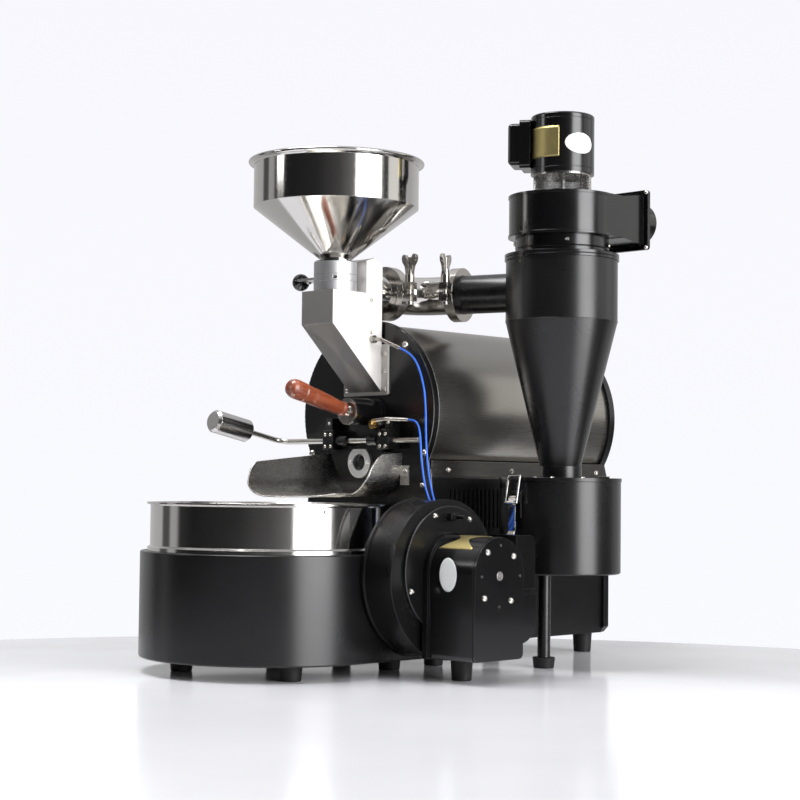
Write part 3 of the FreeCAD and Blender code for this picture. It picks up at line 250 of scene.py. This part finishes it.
M["satin_body"] = paint("satin_black_body", (0.0026, 0.0026, 0.0029), 0.26, rvar=0.02, spec=0.50)
M["cyclone"] = paint("satin_black_cyclone", (0.0040, 0.0040, 0.0042), 0.28, rvar=0.02, grain=1100.0, spec=0.50)
M["gloss"] = paint("gloss_black", (0.0024, 0.0024, 0.0027), 0.20, rvar=0.03, grain=700.0, bs=0.06, coat=0.2, coat_rough=0.08, spec=0.45)
M["rubber"] = paint("black_rubber", (0.007, 0.007, 0.007), 0.55, rvar=0.06, grain=900.0, bs=0.3, edge=0.0010, spec=0.35)
M["plastic"] = paint("black_plastic", (0.0045, 0.0045, 0.005), 0.32, grain=1200.0, bs=0.12, spec=0.45)
M["blue"] = paint("blue_wire", (0.030, 0.16, 0.80), 0.36, grain=600.0, bs=0.05, edge=0.0, wear=0.2)
M["gold"] = metal("gold_plate", (0.40, 0.33, 0.14), 0.42, 0.05, brush=(1, 1, 0.05), bs=0.10, edge=0.0)
M["white"] = paint("pale_plate", (0.62, 0.64, 0.62), 0.38, grain=500.0, bs=0.05, edge=0.0, wear=0.25)


def wood():
    T = NT("lacquered_wood")
    tc = T.n("ShaderNodeTexCoord")
    mp = T.n("ShaderNodeMapping")
    mp.inputs["Rotation"].default_value = (math.radians(15), 0, 0)
    mp.inputs["Scale"].default_value = (1.0, 0.12, 1.0)
    T.l(tc.outputs["Object"], mp.inputs["Vector"])
    v = mp.outputs["Vector"]
    grain = noise(T, v, 420.0, 6.0, 0.65)
    broad = noise(T, v, 90.0, 3.0, 0.5)
    c1 = mixcol(T, remap(T, broad, 0.0, 1.0), (0.17, 0.030, 0.010), (0.29, 0.070, 0.025))
    c2 = mixcol(T, remap(T, grain, 0.0, 0.75, 0.42, 0.72), c1, (0.10, 0.018, 0.008))
    b = bsdf(T, c2, 0.0, remap(T, grain, 0.26, 0.38), 0.5, 0.35, 0.12)
    bump(T, b, grain, 0.18, 0.00006)
    T.l(b.outputs[0], T.out.inputs[0])
    return T.m


M["wood"] = wood()
kx = P(-63, -58, 477.05)
M["gate"] = by_place("gate_blade_and_knob",
                     lambda T: paint_core(T, (0.008, 0.008, 0.009), 0.16, coat=0.4, coat_rough=0.05, edge=0.0, bs=0.03),
                     lambda T: metal_core(T, STEEL, 0.22, 0.04, (0.03, 1, 1), 0.1), kx, (0.0135, 0.02, 0.02))
M["probe"] = by_place("probe_steel_and_brass",
                      lambda T: metal_core(T, (0.62, 0.40, 0.14), 0.22, 0.04),
                      lambda T: metal_core(T, (0.55, 0.52, 0.48), 0.24, 0.05), P(40, -28.5, 297), (0.0075, 0.0045, 0.0065))
M["sight"] = by_place("ring_and_glass",
                      lambda T: paint_core(T, (0.006, 0.006, 0.007), 0.06, coat=0.5, coat_rough=0.02, edge=0.0, bs=0.0),
                      lambda T: metal_core(T, (0.86, 0.86, 0.86), 0.32, 0.04, (1, 1, 0.05), 0.1), P(0, -6.9, 250), (0.0131, 0.0021, 0.0131))
M["trim_shell"] = by_place("wrapped_steel_and_trim",
                           lambda T: metal_core(T, (0.30, 0.287, 0.265), 0.28, 0.01, (1, 0.015, 1), 0.008, 0.0006, 2400.0),
                           lambda T: metal_core(T, (0.26, 0.25, 0.235), 0.22, 0.02, (1, 0.03, 1), 0.03),
                           P(0, 180, 360), (0.13, 0.2, 0.1075))

USE = {
    "housing": "satin_body", "front_plate": "satin_body", "rear_plate": "satin_body", "drum_shell": "trim_shell", "drum": "dark_steel",
    "drum_shaft": "dark_steel", "drum_drive": "gloss", "burner": "dark_steel", "control_panel": "brushed_z", "switch_roast": "plastic",
    "switch_cool": "plastic", "heat_knob": "plastic", "cable_inlets": "plastic", "hopper": "polished", "gate_collar": "alu",
    "charge_gate": "gate", "charge_chute": "brushed_z", "exhaust_elbow": "polished", "pipe_clamps": "cast", "wing_nut_front": "cast",
    "wing_nut_rear": "cast", "inlet_pipe": "cyclone", "cyclone_body": "cyclone", "cyclone_top_ring": "gloss", "can_lid": "satin",
    "chaff_can": "satin", "latch_lever_a": "polished", "latch_lever_b": "polished", "latch_loop_a": "polished", "latch_loop_b": "polished",
    "can_pole": "satin", "top_scroll": "gloss", "mesh_guard": "dark_steel", "top_motor": "gloss", "terminal_box": "gloss",
    "top_impeller": "alu_plain", "tray_base": "satin_body", "cooling_pan": "polished_v", "perforated_floor": "brushed_y", "stir_motor": "dark_steel",
    "stirrer": "brushed_y", "cooling_scroll": "satin", "scroll_cover": "satin", "cooling_impeller": "alu_plain", "cooling_motor": "gloss",
    "motor_face_plate": "gloss", "rubber_feet": "rubber", "trier_sleeve": "gloss", "trier_spoon": "cast", "trier_handle": "wood",
    "door_bearing_blocks": "satin", "discharge_door": "satin", "sight_ring": "sight", "door_rod": "brushed_y", "counterweight": "weight",
    "discharge_chute": "trough", "temperature_probes": "probe", "fasteners": "screw",
}
for nm, key in USE.items():
    o = NODES[nm]
    o.data.materials.clear()
    o.data.materials.append(M[key])

# ---------------------------------------------------------------- probe wires
W_UP = [(66, -9, 391), (76, -5, 386), (89, -4, 375), (100, -6, 357), (109, -9, 335), (115, -13, 310), (118, -16, 285), (121, -17, 259),
        (124, -16, 233), (127, -12, 208), (130, -3, 185), (129, 9, 166), (123, 17, 154), (113, 20, 150)]
W_LO = [(86, -14, 302), (96, -14, 302), (106, -16, 295), (113, -20, 281), (117, -23, 262), (121, -24, 240), (124, -22, 218), (128, -15, 197),
        (132, -4, 178), (133, 10, 160), (129, 22, 145), (122, 28, 138), (113, 30, 136)]


def wire(name, pts, node):
    cu = bpy.data.curves.new(name, "CURVE")
    cu.dimensions = "3D"
    cu.bevel_depth = 0.0012
    cu.bevel_resolution = 4
    cu.use_fill_caps = True
    cu.resolution_u = 16
    sp = cu.splines.new("NURBS")
    sp.points.add(len(pts) - 1)
    for q, pt in zip(sp.points, pts):
        v = P(*pt)
        q.co = (v.x, v.y, v.z, 1)
    sp.order_u = 3
    sp.use_endpoint_u = True
    cu.materials.append(M["blue"])
    o = bpy.data.objects.new(name, cu)
    col.objects.link(o)
    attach(o, "frame")
    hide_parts(node)
    return o


wire("wire_upper", W_UP, "probe_wire_upper")
wire("wire_lower", W_LO, "probe_wire_lower")


# ---------------------------------------------------------------- detail pieces
def piece(name, verts, faces, mat_, body, smooth=True, mods=()):
    me = bpy.data.meshes.new(name)
    me.from_pydata([tuple(v) for v in verts], [], faces)
    me.validate()
    bm = bmesh.new()
    bm.from_mesh(me)
    bmesh.ops.remove_doubles(bm, verts=bm.verts, dist=1e-6)
    bmesh.ops.recalc_face_normals(bm, faces=bm.faces)
    bm.to_mesh(me)
    bm.free()
    if smooth:
        for f in me.polygons:
            f.use_smooth = True
    me.materials.append(mat_)
    o = bpy.data.objects.new(name, me)
    col.objects.link(o)
    for kind, kw in mods:
        md = o.modifiers.new(kind.lower(), kind)
        for k, v in kw.items():
            setattr(md, k, v)
    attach(o, body)
    return o


CX, CY = 203.0, 137.0


# fine perforated guard between the top scroll and its motor
def guard():
    R, z0, z1, nu, nv = 35.4, 582.4, 609.0, 112, 14
    vs, fs = [], []
    for j in range(nv + 1):
        for i in range(nu):
            t = 2 * math.pi * (i + 0.5 * (j % 2)) / nu
            vs.append(P(CX + R * math.cos(t), CY + R * math.sin(t), z0 + (z1 - z0) * j / nv))
    for j in range(0, nv):
        for i in range(nu):
            if j % 2 == 0:
                a0, a1 = j * nu + i, j * nu + (i + 1) % nu
                b0, b1 = (j + 1) * nu + i, (j + 1) * nu + (i - 1) % nu
                fs.append((a0, a1, b0)); fs.append((a0, b0, b1))
            else:
                a0, a1 = j * nu + i, j * nu + (i + 1) % nu
                b0, b1 = (j + 1) * nu + i, (j + 1) * nu + (i + 1) % nu
                fs.append((a0, a1, b1)); fs.append((a0, b1, b0))
    g = piece("guard_mesh", vs, fs, M["guard"], "frame", False,
              [("WIREFRAME", dict(thickness=0.00095, use_even_offset=False))])
    # its two plain end bands
    vs, fs = [], []
    n = 96
    for zz in ((582.0, 584.2), (607.2, 609.2)):
        base = len(vs)
        for rr, z_ in ((35.9, zz[0]), (35.9, zz[1]), (34.9, zz[1]), (34.9, zz[0])):
            for i in range(n):
                t = 2 * math.pi * i / n
                vs.append(P(CX + rr * math.cos(t), CY + rr * math.sin(t), z_))
        for k in range(4):
            for i in range(n):
                q0, q1 = base + k * n + i, base + k * n + (i + 1) % n
                r0, r1 = base + ((k + 1) % 4) * n + i, base + ((k + 1) % 4) * n + (i + 1) % n
                fs.append((q0, q1, r1, r0))
    b = piece("guard_bands", vs, fs, M["guard"], "frame", False)
    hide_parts("mesh_guard")
    return g, b


M["guard"] = metal("guard_steel", (0.42, 0.41, 0.39), 0.26, 0.05, bs=0.1, edge=0.0)
guard()


def curved_patch(name, radius, z0, z1, a0, a1, thick, mat_, oval=False, n=40, mz=12, body="frame"):
    """A thin plate that follows the top motor's round side."""
    vs, fs = [], []
    zc, hz, ac, ha = (z0 + z1) / 2, (z1 - z0) / 2, (a0 + a1) / 2, (a1 - a0) / 2
    rings = 10
    if oval:
        for s in (0, 1):
            rr = radius + thick * s
            for k in range(rings + 1):
                f = k / rings
                if s and k == rings:
                    f = 0.97
                for i in range(n):
                    t = 2 * math.pi * i / n
                    an = math.radians(ac + ha * f * math.cos(t))
                    vs.append(P(CX + rr * math.cos(an), CY + rr * math.sin(an), zc + hz * f * math.sin(t)))
        L = (rings + 1) * n
        for s in (0, 1):
            for k in range(rings):
                for i in range(n):
                    q0, q1 = s * L + k * n + i, s * L + k * n + (i + 1) % n
                    r0, r1 = q0 + n, q1 + n
                    fs.append((q0, q1, r1, r0))
        for i in range(n):
            q0, q1 = rings * n + i, rings * n + (i + 1) % n
            fs.append((q0, q1, q1 + L, q0 + L))
    else:
        cr = 2.0
        for s in (0, 1):
            rr = radius + thick * s
            for j in range(mz + 1):
                zz = z0 + (z1 - z0) * j / mz
                for i in range(n + 1):
                    an = math.radians(a0 + (a1 - a0) * i / n)
                    vs.append(P(CX + rr * math.cos(an), CY + rr * math.sin(an), zz))
        L = (mz + 1) * (n + 1)
        for s in (0, 1):
            for j in range(mz):
                for i in range(n):
                    q = s * L + j * (n + 1) + i
                    fs.append((q, q + 1, q + n + 2, q + n + 1))
        edge = [i for i in range(n + 1)] + [j * (n + 1) + n for j in range(1, mz + 1)] + [mz * (n + 1) + i for i in range(n - 1, -1, -1)] + [j * (n + 1) for j in range(mz - 1, 0, -1)]
        for k in range(len(edge)):
            q0, q1 = edge[k], edge[(k + 1) % len(edge)]
            fs.append((q0, q1, q1 + L, q0 + L))
    return piece(name, vs, fs, mat_, body)


curved_patch("motor_plate_top", 39.42, 627, 665, -131, -57, 0.35, M["gold"])
curved_patch("motor_oval_top", 39.42, 631, 657, -47, 13, 0.35, M["white"], oval=True, n=64)


def flat_plate(name, centre, u, v, hu, hv, thick, mat_, rad=1.5, oval=False, bend=0.0):
    """A thin plate with rounded corners; bend lifts it onto a round surface of that radius about axis v."""
    nrm = Vector(u).cross(Vector(v)).normalized()
    u, v = Vector(u).normalized(), Vector(v).normalized()
    ring = []
    if oval:
        for i in range(56):
            t = 2 * math.pi * i / 56
            ring.append((hu * math.cos(t), hv * math.sin(t)))
    else:
        for sx, sy, t0 in ((1, 1, 0), (-1, 1, 90), (-1, -1, 180), (1, -1, 270)):
            for k in range(7):
                t = math.radians(t0 + 15 * k)
                ring.append((sx * (hu - rad) + rad * math.cos(t), sy * (hv - rad) + rad * math.sin(t)))
    n = len(ring)
    vs, fs = [], []
    R = 9
    for s in (0, 1):
        for k in range(R + 1):
            f = k / R
            sh = 1.0 if not (s and k == R) else 0.985
            for x, y in ring:
                x_, y_ = x * f * sh, y * f * sh
                off = thick * s
                if bend:
                    an = x_ / bend
                    d = u * ((bend + off) * math.sin(an)) + v * y_ + nrm * ((bend + off) * math.cos(an) - bend)
                else:
                    d = u * x_ + v * y_ + nrm * off
                vs.append(P(centre[0] + d.x, centre[1] + d.y, centre[2] + d.z))
    L = (R + 1) * n
    for s in (0, 1):
        for k in range(R):
            for i in range(n):
                q0, q1 = s * L + k * n + i, s * L + k * n + (i + 1) % n
                fs.append((q0, q1, q1 + n, q0 + n))
    for i in range(n):
        q0, q1 = R * n + i, R * n + (i + 1) % n
        fs.append((q0, q1, q1 + L, q0 + L))
    return piece(name, vs, fs, mat_, "frame")


# plates on the cooling motor: one on its round top, one on its front side
t20 = math.radians(22)
flat_plate("motor_plate_side", (241, -64 - 42.05 * math.sin(t20), 123 + 42.05 * math.cos(t20)), (0, math.cos(t20), math.sin(t20)), (-1, 0, 0), 20, 25, 0.35,
           M["gold"], bend=42.05)
flat_plate("motor_oval_side", (240, -106.03, 122), (1, 0, 0), (0, 0, 1), 13, 19, 0.35, M["white"], oval=True)



def lathe_x(name, y, z, prof, mat_, n=40):
    """A turned detail on the +X face of the cooling motor's end plate: prof is (radius, x) in drawing millimetres."""
    vs, fs = [], []
    for r_, x_ in prof:
        for i in range(n):
            t = 2 * math.pi * i / n
            vs.append(P(x_, y + r_ * math.cos(t), z + r_ * math.sin(t)))
    for k in range(len(prof) - 1):
        for i in range(n):
            q0, q1 = k * n + i, k * n + (i + 1) % n
            fs.append((q0, q1, q1 + n, q0 + n))
    fs.append(tuple(i for i in range(n - 1, -1, -1)))
    fs.append(tuple((len(prof) - 1) * n + i for i in range(n)))
    return piece(name, vs, fs, mat_, "frame", False)


lathe_x("end_plate_plug", -64, 121, [(5.2, 279.8), (5.2, 280.5), (4.6, 280.9), (3.6, 280.9), (3.3, 280.55), (1.4, 280.5), (0.6, 280.8)], M["dark_steel"])
for k, (y_, z_) in enumerate(((-62.5, 155.5), (-29, 120.6), (-64, 86.5), (-94, 121))):
    lathe_x("end_plate_rivet_%d" % k, y_, z_, [(1.9, 279.9), (1.9, 280.25), (1.3, 280.5), (0.8, 280.3), (0.3, 280.25)], M["gloss"], 20)


def bead(name, pts, radius, mat_, closed=False):
    """A thin round bead along points in drawing millimetres."""
    cu = bpy.data.curves.new(name, "CURVE")
    cu.dimensions = "3D"
    cu.bevel_depth = radius / 1000
    cu.bevel_resolution = 3
    sp = cu.splines.new("POLY")
    sp.points.add(len(pts) - 1)
    for q, pt in zip(sp.points, pts):
        v = P(*pt)
        q.co = (v.x, v.y, v.z, 1)
    sp.use_cyclic_u = closed
    cu.materials.append(mat_)
    tmp = bpy.data.objects.new(name + "_c", cu)
    col.objects.link(tmp)
    bpy.context.view_layer.update()
    me = bpy.data.meshes.new_from_object(tmp.evaluated_get(bpy.context.evaluated_depsgraph_get()))
    bpy.data.objects.remove(tmp)
    for f in me.polygons:
        f.use_smooth = True
    if not me.materials:
        me.materials.append(mat_)
    o = bpy.data.objects.new(name, me)
    col.objects.link(o)
    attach(o, "frame")
    return o


rim = []
for k in range(73):
    t = math.radians(-31.6 + (180 + 63.2) * k / 72)
    rim.append((116.1 * math.cos(t), 9.6, 313 + 116.1 * math.sin(t)))
rim = [(107.1, 9.6, 60), (107.1, 9.6, 205), (103.1, 9.6, 236)] + rim + [(-103.1, 9.6, 236), (-107.1, 9.6, 205), (-107.1, 9.6, 60)]
bead("front_plate_edge", rim, 0.42, M["dark_steel"])
# weld bead where the inlet pipe meets the cyclone, a single ring round its body
seam = [(203 + 69.35 * math.cos(t), 137 + 69.35 * math.sin(t), 426) for t in [2 * math.pi * k / 120 for k in range(120)]]
bead("cyclone_seam", seam, 0.35, M["cyclone"], True)

# ---------------------------------------------------------------- table, light and background
def table():
    T = NT("pale_table")
    v = coords(T)
    soft = noise(T, v, 3.0, 3.0, 0.5)
    c = mixcol(T, remap(T, soft, 0.0, 1.0), (0.86, 0.86, 0.885), (0.90, 0.90, 0.925))
    b = bsdf(T, c, 0.0, remap(T, soft, 0.13, 0.17), 0.36)
    T.l(b.outputs[0], T.out.inputs[0])
    vs, fs = [], []
    n = 256
    cf = Vector((fwd.x, fwd.y, 0)).normalized()
    ctr = P(1598, -1579, 0) + cf * 1.50
    prof = [(1.15, -0.0255), (1.15, -0.005), (1.1485, -0.0015), (1.145, 0.0), (0.6, 0.0), (0.0, 0.0)]
    prof = [(r_, z_ - 0.00005) for r_, z_ in prof]
    for r_, z_ in prof[:-1]:
        for i in range(n):
            t = 2 * math.pi * i / n
            vs.append(Vector((ctr.x + r_ * math.cos(t), ctr.y + r_ * math.sin(t), z_)))
    for k in range(len(prof) - 2):
        for i in range(n):
            q0, q1 = k * n + i, k * n + (i + 1) % n
            fs.append((q0, q1, q1 + n, q0 + n))
    fs.append(tuple((len(prof) - 2) * n + i for i in range(n)))
    fs.append(tuple(i for i in range(n - 1, -1, -1)))
    me = bpy.data.meshes.new("table_top")
    me.from_pydata([tuple(q) for q in vs], [], fs)
    for f in me.polygons:
        f.use_smooth = len(f.vertices) == 4
    me.materials.append(T.m)
    o = bpy.data.objects.new("table_top", me)
    col.objects.link(o)


table()

w = bpy.data.worlds.new("studio")
bpy.context.scene.world = w
w.use_nodes = True
nt = w.node_tree
nt.nodes.clear()
wo = nt.nodes.new("ShaderNodeOutputWorld")
tc = nt.nodes.new("ShaderNodeTexCoord")
sep = nt.nodes.new("ShaderNodeSeparateXYZ")
nt.links.new(tc.outputs["Generated"], sep.inputs[0])
at = nt.nodes.new("ShaderNodeMath"); at.operation = "ARCTAN2"
nt.links.new(sep.outputs[1], at.inputs[0]); nt.links.new(sep.outputs[0], at.inputs[1])
mr = nt.nodes.new("ShaderNodeMapRange")
mr.inputs["From Min"].default_value = -math.pi
mr.inputs["From Max"].default_value = math.pi
nt.links.new(at.outputs[0], mr.inputs["Value"])
cr = nt.nodes.new("ShaderNodeValToRGB")
nt.links.new(mr.outputs[0], cr.inputs[0])


def az(d):
    return (d + 180) / 360


stops = [(-180, 0.055), (-167, 0.055), (-164, 0.010), (-153, 0.010), (-150, 0.05), (-141, 0.045), (-137, 0.004), (-118, 0.0015), (-70, 0.003), (-40, 0.008),
         (-18, 0.02), (-13, 0.75), (-9, 0.95), (12, 0.95), (17, 0.70), (22, 0.03), (27, 0.005), (60, 0.008), (67, 0.065), (80, 0.055), (95, 0.065), (180, 0.055)]
el = cr.color_ramp.elements
while len(el) > 2:
    el.remove(el[-1])
el[0].position, el[1].position = az(stops[0][0]), az(stops[-1][0])
for e, (d, v) in ((el[0], stops[0]), (el[1], stops[-1])):
    e.color = (v, v, v * 1.0, 1)
for d, v in stops[1:-1]:
    e = el.new(az(d))
    e.color = (v * 0.985, v * 0.985, v, 1)
# a broad top light and a dim lower half
up_ = nt.nodes.new("ShaderNodeMapRange")
up_.inputs["From Min"].default_value = 0.42
up_.inputs["From Max"].default_value = 0.80
up_.interpolation_type = "SMOOTHSTEP"
nt.links.new(sep.outputs[2], up_.inputs["Value"])
mx = nt.nodes.new("ShaderNodeMix"); mx.data_type = "RGBA"
nt.links.new(up_.outputs[0], mx.inputs[0])
lowf = nt.nodes.new("ShaderNodeMapRange")
lowf.inputs["From Min"].default_value = 0.42
lowf.inputs["From Max"].default_value = 0.80
lowf.inputs["To Min"].default_value = 1.0
lowf.inputs["To Max"].default_value = 0.25
nt.links.new(sep.outputs[2], lowf.inputs["Value"])
dim = nt.nodes.new("ShaderNodeVectorMath"); dim.operation = "SCALE"
nt.links.new(cr.outputs[0], dim.inputs[0])
nt.links.new(lowf.outputs[0], dim.inputs["Scale"])
nt.links.new(dim.outputs[0], mx.inputs[6])
mx.inputs[7].default_value = (0.085, 0.085, 0.088, 1)
bg = nt.nodes.new("ShaderNodeBackground")
nt.links.new(mx.outputs[2], bg.inputs[0])
bg.inputs[1].default_value = 10.0
# what the camera sees behind the object
grad = nt.nodes.new("ShaderNodeMapRange")
grad.inputs["From Min"].default_value = -0.15
grad.inputs["From Max"].default_value = 0.35
nt.links.new(sep.outputs[2], grad.inputs["Value"])
mc = nt.nodes.new("ShaderNodeMix"); mc.data_type = "RGBA"
nt.links.new(grad.outputs[0], mc.inputs[0])
mc.inputs[6].default_value = (0.955, 0.965, 1.0, 1)
mc.inputs[7].default_value = (0.930, 0.925, 0.985, 1)
bgc = nt.nodes.new("ShaderNodeBackground")
nt.links.new(mc.outputs[2], bgc.inputs[0])
bgc.inputs[1].default_value = 1.0
lp = nt.nodes.new("ShaderNodeLightPath")
ms = nt.nodes.new("ShaderNodeMixShader")
nt.links.new(lp.outputs["Is Camera Ray"], ms.inputs[0])
nt.links.new(bg.outputs[0], ms.inputs[1])
nt.links.new(bgc.outputs[0], ms.inputs[2])
nt.links.new(ms.outputs[0], wo.inputs[0])


def area(name, loc, target, sx, sy, power, colr=(1, 1, 1)):
    ld = bpy.data.lights.new(name, "AREA")
    ld.shape = "RECTANGLE"
    ld.size, ld.size_y = sx, sy
    ld.energy = power
    ld.color = colr
    o = bpy.data.objects.new(name, ld)
    col.objects.link(o)
    o.location = loc
    d = Vector(target) - Vector(loc)
    o.rotation_mode = "QUATERNION"
    o.rotation_quaternion = d.to_track_quat("-Z", "Y")
    return o


area("key_right", (1.62, 1.74, 1.15), (0, 0, 0.40), 1.5, 1.5, 7, (1.0, 0.985, 0.96))
area("fill_left", (-1.5, -2.1, 1.25), (0, 0, 0.3), 0.5, 0.5, 3.4)
area("top_soft", (-0.3, -0.7, 2.3), (0, 0, 0.3), 1.2, 0.9, 46, (0.98, 0.985, 1.0))

vs_ = bpy.context.scene.view_settings
vs_.view_transform = "Standard"
vs_.look = "None"
vs_.exposure = 0.0
